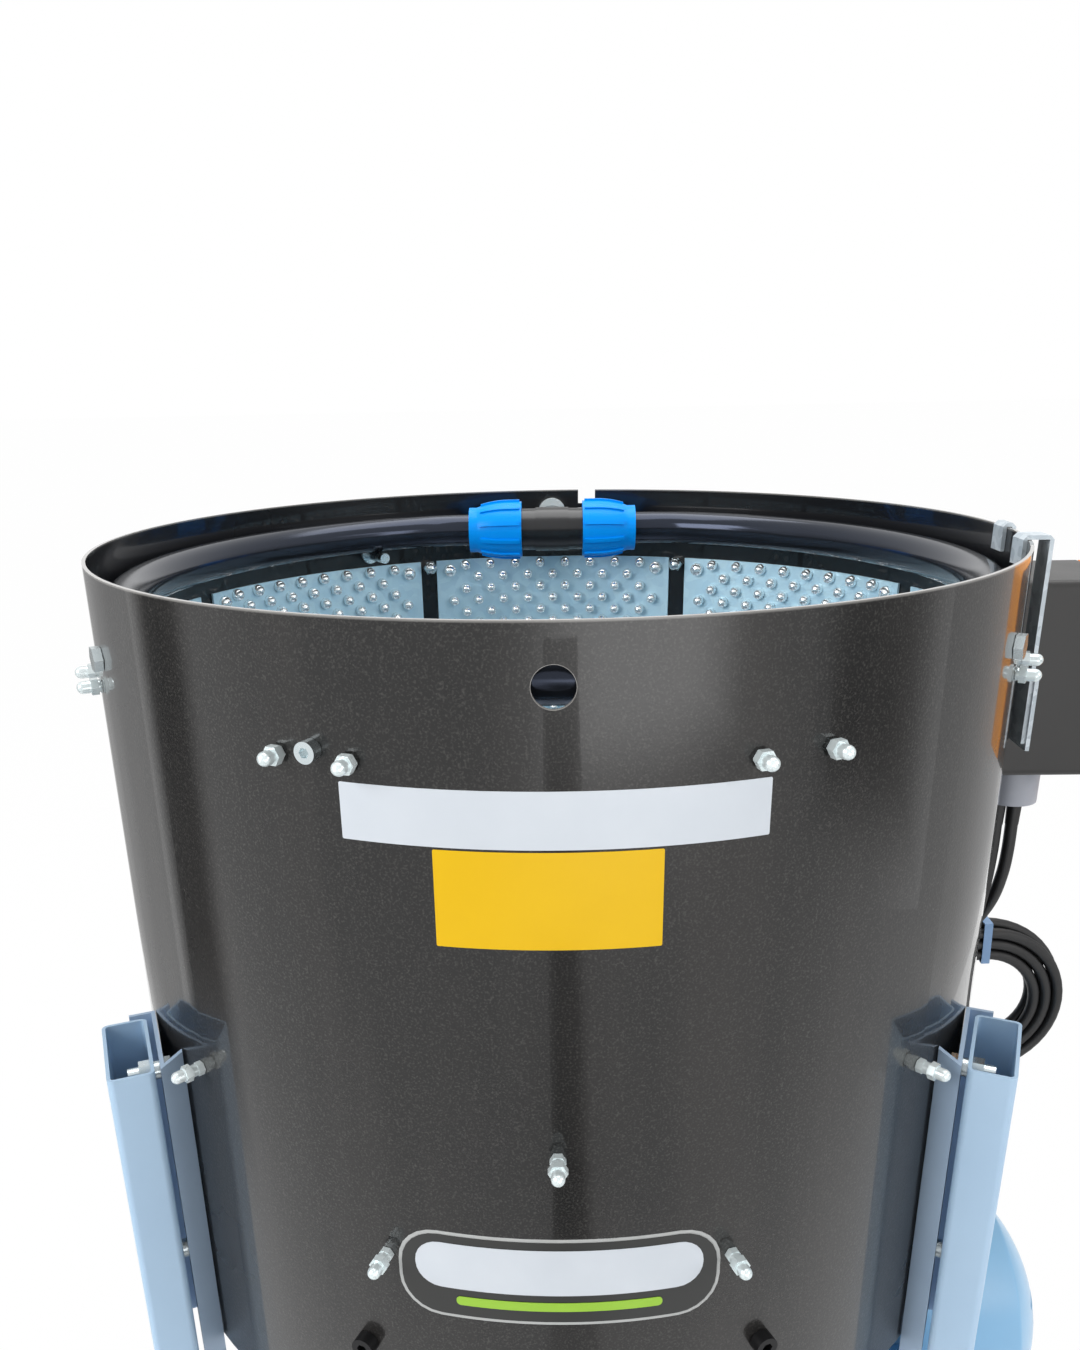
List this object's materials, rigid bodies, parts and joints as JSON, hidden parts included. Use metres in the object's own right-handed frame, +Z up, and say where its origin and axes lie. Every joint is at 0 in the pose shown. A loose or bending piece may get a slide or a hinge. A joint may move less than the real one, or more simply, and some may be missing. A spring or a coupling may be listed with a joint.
{
  "type": "walnut huller",
  "caption": "Upright studded drum on legs with a spinning disc, water ring, worm gear motor, discharge gate and control box, for stripping green husks off walnuts.",
  "frame": {"origin": "on the ground, under the drum's axis, at the centre of the anchor holes", "axes": "+Z up along the drum's axis, -Y towards the front with the spare hole, +X to the control box and motor"},
  "size_m": [0.9092, 0.9337, 1.0033],
  "materials": {
    "drum_paint": "satin black powder coat",
    "liner_zinc": "zinc plated sheet",
    "zinc_fastener": "bright zinc",
    "pe_pipe": "gloss",
    "pp_black": "gloss",
    "pp_blue": "gloss",
    "brass": "satin",
    "lever_red": "gloss",
    "leg_paint": "satin powder coat",
    "bracket_paint": "satin powder coat",
    "pan_paint": "satin",
    "black_screw": "black oxide",
    "cast_grey": "painted casting",
    "bearing_steel": "ground",
    "disc_steel": "zinc plated",
    "bronze": "machined",
    "motor_paint": "gloss enamel",
    "fan_plastic": "moulded",
    "hook_steel": "galvanised",
    "box_orange": "moulded",
    "box_dark": "moulded, fine grain",
    "button_green": "gloss",
    "button_red": "gloss",
    "gland_grey": "moulded",
    "cable_black": "satin",
    "tie_blue": "moulded"
  },
  "bodies": {
    "frame": {"drum": "drum_paint", "liner_panel_1": "liner_zinc", "liner_panel_2": "liner_zinc", "liner_panel_3": "liner_zinc", "liner_panel_4": "liner_zinc", "liner_panel_5": "liner_zinc", "liner_panel_6": "liner_zinc", "liner_panel_7": "liner_zinc", "liner_panel_8": "liner_zinc", "panel_bolts": "zinc_fastener", "panel_cap_nuts": "zinc_fastener", "seam_bolts": "zinc_fastener", "pipe_pegs": "zinc_fastener", "water_ring": "pe_pipe", "tee_body": "pp_black", "tee_nuts": "pp_blue", "inlet_nipple": "zinc_fastener", "inlet_locknut": "brass", "valve_body": "brass", "leg_front_left": "leg_paint", "leg_front_right": "leg_paint", "leg_rear_left": "leg_paint", "leg_rear_right": "leg_paint", "leg_brackets": "bracket_paint", "leg_bolts": "zinc_fastener", "side_braces": "leg_paint", "cross_braces": "leg_paint", "floor_pan": "pan_paint", "floor_bolts": "black_screw", "waste_spout": "pan_paint", "bearing_housing": "cast_grey", "housing_bolts": "zinc_fastener", "bearings": "bearing_steel", "gearbox_housing": "cast_grey", "gearbox_cover": "cast_grey", "motor_stator": "motor_paint", "motor_shields": "motor_paint", "fan_cowl": "motor_paint", "terminal_box": "motor_paint", "control_bracket": "hook_steel", "control_base": "box_dark", "control_cover": "box_orange", "control_gland": "gland_grey", "motor_cable": "cable_black", "supply_cord": "cable_black", "supply_coil": "cable_black", "supply_plug": "cable_black", "cable_tie": "tie_blue", "gate_guide": "drum_paint"},
    "rotor": {"drive_shaft": "bearing_steel", "rotor_disc": "disc_steel", "rotor_ribs": "disc_steel", "hub_cap": "liner_zinc", "worm_wheel": "bronze"},
    "motor_rotor": {"worm_shaft": "bearing_steel", "motor_fan": "fan_plastic"},
    "gate": {"discharge_gate": "drum_paint"},
    "lever": {"valve_lever": "lever_red"},
    "start": {"start_button": "button_green"},
    "stop": {"stop_button": "button_red"}
  },
  "joints": [
    {"name": "disc_spin", "type": "hinge", "parent": "frame", "child": "rotor", "pos_m": [0, 0, 0.45], "axis": [0, 0, 1], "continuous": true},
    {"name": "motor_spin", "type": "hinge", "parent": "frame", "child": "motor_rotor", "pos_m": [0.2, -0.075, 0.302], "axis": [1, 0, 0], "continuous": true},
    {"name": "gate_slide", "type": "slide", "parent": "frame", "child": "gate", "axis": [0, 0, 1], "range_m": [0, 0.13]},
    {"name": "valve_turn", "type": "hinge", "parent": "frame", "child": "lever", "pos_m": [0, 0.396, 0.986], "axis": [0, 0, -1], "range_deg": [0, 90]},
    {"name": "start_press", "type": "slide", "parent": "frame", "child": "start", "axis": [-1, 0, 0], "range_m": [0, 0.004], "stiffness_N_per_m": 400},
    {"name": "stop_press", "type": "slide", "parent": "frame", "child": "stop", "axis": [-1, 0, 0], "range_m": [0, 0.004], "stiffness_N_per_m": 400}
  ],
  "couplings": [
    {"joint": "motor_spin", "follows": "disc_spin", "ratio": 7.5}
  ]
}
